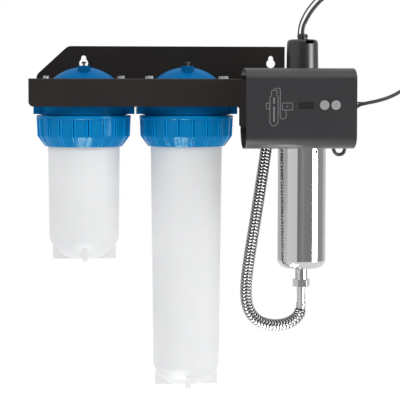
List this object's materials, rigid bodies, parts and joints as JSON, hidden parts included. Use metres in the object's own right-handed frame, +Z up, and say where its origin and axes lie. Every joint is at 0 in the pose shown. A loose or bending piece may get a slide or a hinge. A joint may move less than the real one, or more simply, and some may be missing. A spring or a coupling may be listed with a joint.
{
  "type": "ultraviolet water purifier",
  "caption": "Wall-mounted ultraviolet water purifier: bracket with short and long filter housings, steel lamp chamber, hose, cables and controller.",
  "frame": {"origin": "midway between the two keyhole circles, on the wall plane", "axes": "+X to the right seen from the front, +Y into the wall, +Z up; the front faces -Y"},
  "size_m": [0.8289, 0.3015, 0.8546],
  "materials": {
    "bracket_paint": "satin",
    "plated_steel": "satin",
    "blue_plastic": "gloss",
    "white_plastic": "satin",
    "black_plastic": "satin",
    "rubber": "matte",
    "filter_fabric": "matte",
    "carbon_block": "matte",
    "cap_plastic": "satin",
    "stainless_fittings": "satin",
    "polished_stainless": "polished",
    "quartz_glass": "polished",
    "cable_jacket": "satin",
    "wire_jacket": "satin",
    "chassis_steel": "satin",
    "board_green": "satin",
    "component_black": "satin",
    "window_plastic": "gloss",
    "button_plastic": "satin",
    "cover_plastic": "satin"
  },
  "bodies": {
    "frame": {"mounting_bracket": "bracket_paint", "cap_bolts": "plated_steel", "cap_washers": "plated_steel", "mount_screws": "plated_steel", "ground_screw": "plated_steel", "board_screws": "plated_steel", "cover_screws": "plated_steel", "vent_springs": "plated_steel", "ground_lug": "plated_steel", "left_cap": "blue_plastic", "right_cap": "blue_plastic", "strain_relief": "black_plastic", "lamp_connector": "black_plastic", "lamp_cable_gland": "black_plastic", "chamber_saddles": "black_plastic", "power_inlet": "black_plastic", "sleeve_seat": "black_plastic", "sleeve_seal": "rubber", "hose_gaskets": "rubber", "link_nipple": "stainless_fittings", "outlet_nipple": "stainless_fittings", "outlet_elbow": "stainless_fittings", "hose_ferrules": "stainless_fittings", "corrugated_hose": "stainless_fittings", "sleeve_gland_nut": "stainless_fittings", "chamber_bands": "stainless_fittings", "band_screws": "stainless_fittings", "chamber_body": "polished_stainless", "chamber_base": "polished_stainless", "chamber_outlet_port": "polished_stainless", "quartz_sleeve": "quartz_glass", "uv_lamp": "quartz_glass", "lamp_cable": "cable_jacket", "ground_wire": "wire_jacket", "controller_chassis": "chassis_steel", "circuit_board": "board_green", "board_parts": "component_black", "ballast_module": "component_black", "button_switches": "component_black", "display_module": "component_black", "display_window": "window_plastic", "controller_cover": "cover_plastic"},
    "left_vent": {"left_vent_button": "black_plastic"},
    "right_vent": {"right_vent_button": "black_plastic"},
    "left_sump": {"left_bowl": "white_plastic", "left_bowl_seal": "rubber", "left_filter_media": "filter_fabric", "left_filter_ends": "cap_plastic"},
    "right_sump": {"right_bowl": "white_plastic", "right_bowl_seal": "rubber", "right_filter_block": "carbon_block", "right_filter_ends": "cap_plastic"},
    "left_ring": {"left_collar": "blue_plastic"},
    "right_ring": {"right_collar": "blue_plastic"},
    "boot": {"lamp_boot": "black_plastic"},
    "top_nut": {"hose_top_nut": "stainless_fittings"},
    "bottom_nut": {"hose_bottom_nut": "stainless_fittings"},
    "left_key": {"left_button": "button_plastic"},
    "right_key": {"right_button": "button_plastic"}
  },
  "joints": [
    {"name": "left_bowl_drop", "type": "slide", "parent": "frame", "child": "left_sump", "axis": [0, 0, -1], "range_m": [0, 0.09]},
    {"name": "left_collar_turn", "type": "hinge", "parent": "left_sump", "child": "left_ring", "pos_m": [-0.2055, -0.115, -0.14], "axis": [0, 0, 1], "continuous": true},
    {"name": "left_vent_press", "type": "slide", "parent": "frame", "child": "left_vent", "axis": [0, 0, -1], "range_m": [0, 0.003], "stiffness_N_per_m": 800},
    {"name": "right_bowl_drop", "type": "slide", "parent": "frame", "child": "right_sump", "axis": [0, 0, -1], "range_m": [0, 0.09]},
    {"name": "right_collar_turn", "type": "hinge", "parent": "right_sump", "child": "right_ring", "pos_m": [0.0095, -0.115, -0.14], "axis": [0, 0, 1], "continuous": true},
    {"name": "right_vent_press", "type": "slide", "parent": "frame", "child": "right_vent", "axis": [0, 0, -1], "range_m": [0, 0.003], "stiffness_N_per_m": 800},
    {"name": "lamp_boot_twist", "type": "hinge", "parent": "frame", "child": "boot", "pos_m": [0.2555, -0.115, 0], "axis": [0, 0, 1], "range_deg": [0, 45]},
    {"name": "hose_top_nut_turn", "type": "hinge", "parent": "frame", "child": "top_nut", "pos_m": [0.183, -0.115, -0.105], "axis": [0, 0, 1], "continuous": true},
    {"name": "hose_bottom_nut_turn", "type": "hinge", "parent": "frame", "child": "bottom_nut", "pos_m": [0.2555, -0.115, -0.467], "axis": [0, 0, 1], "continuous": true},
    {"name": "left_button_press", "type": "slide", "parent": "frame", "child": "left_key", "axis": [0, 1, 0], "range_m": [0, 0.001], "stiffness_N_per_m": 1200},
    {"name": "right_button_press", "type": "slide", "parent": "frame", "child": "right_key", "axis": [0, 1, 0], "range_m": [0, 0.001], "stiffness_N_per_m": 1200}
  ]
}
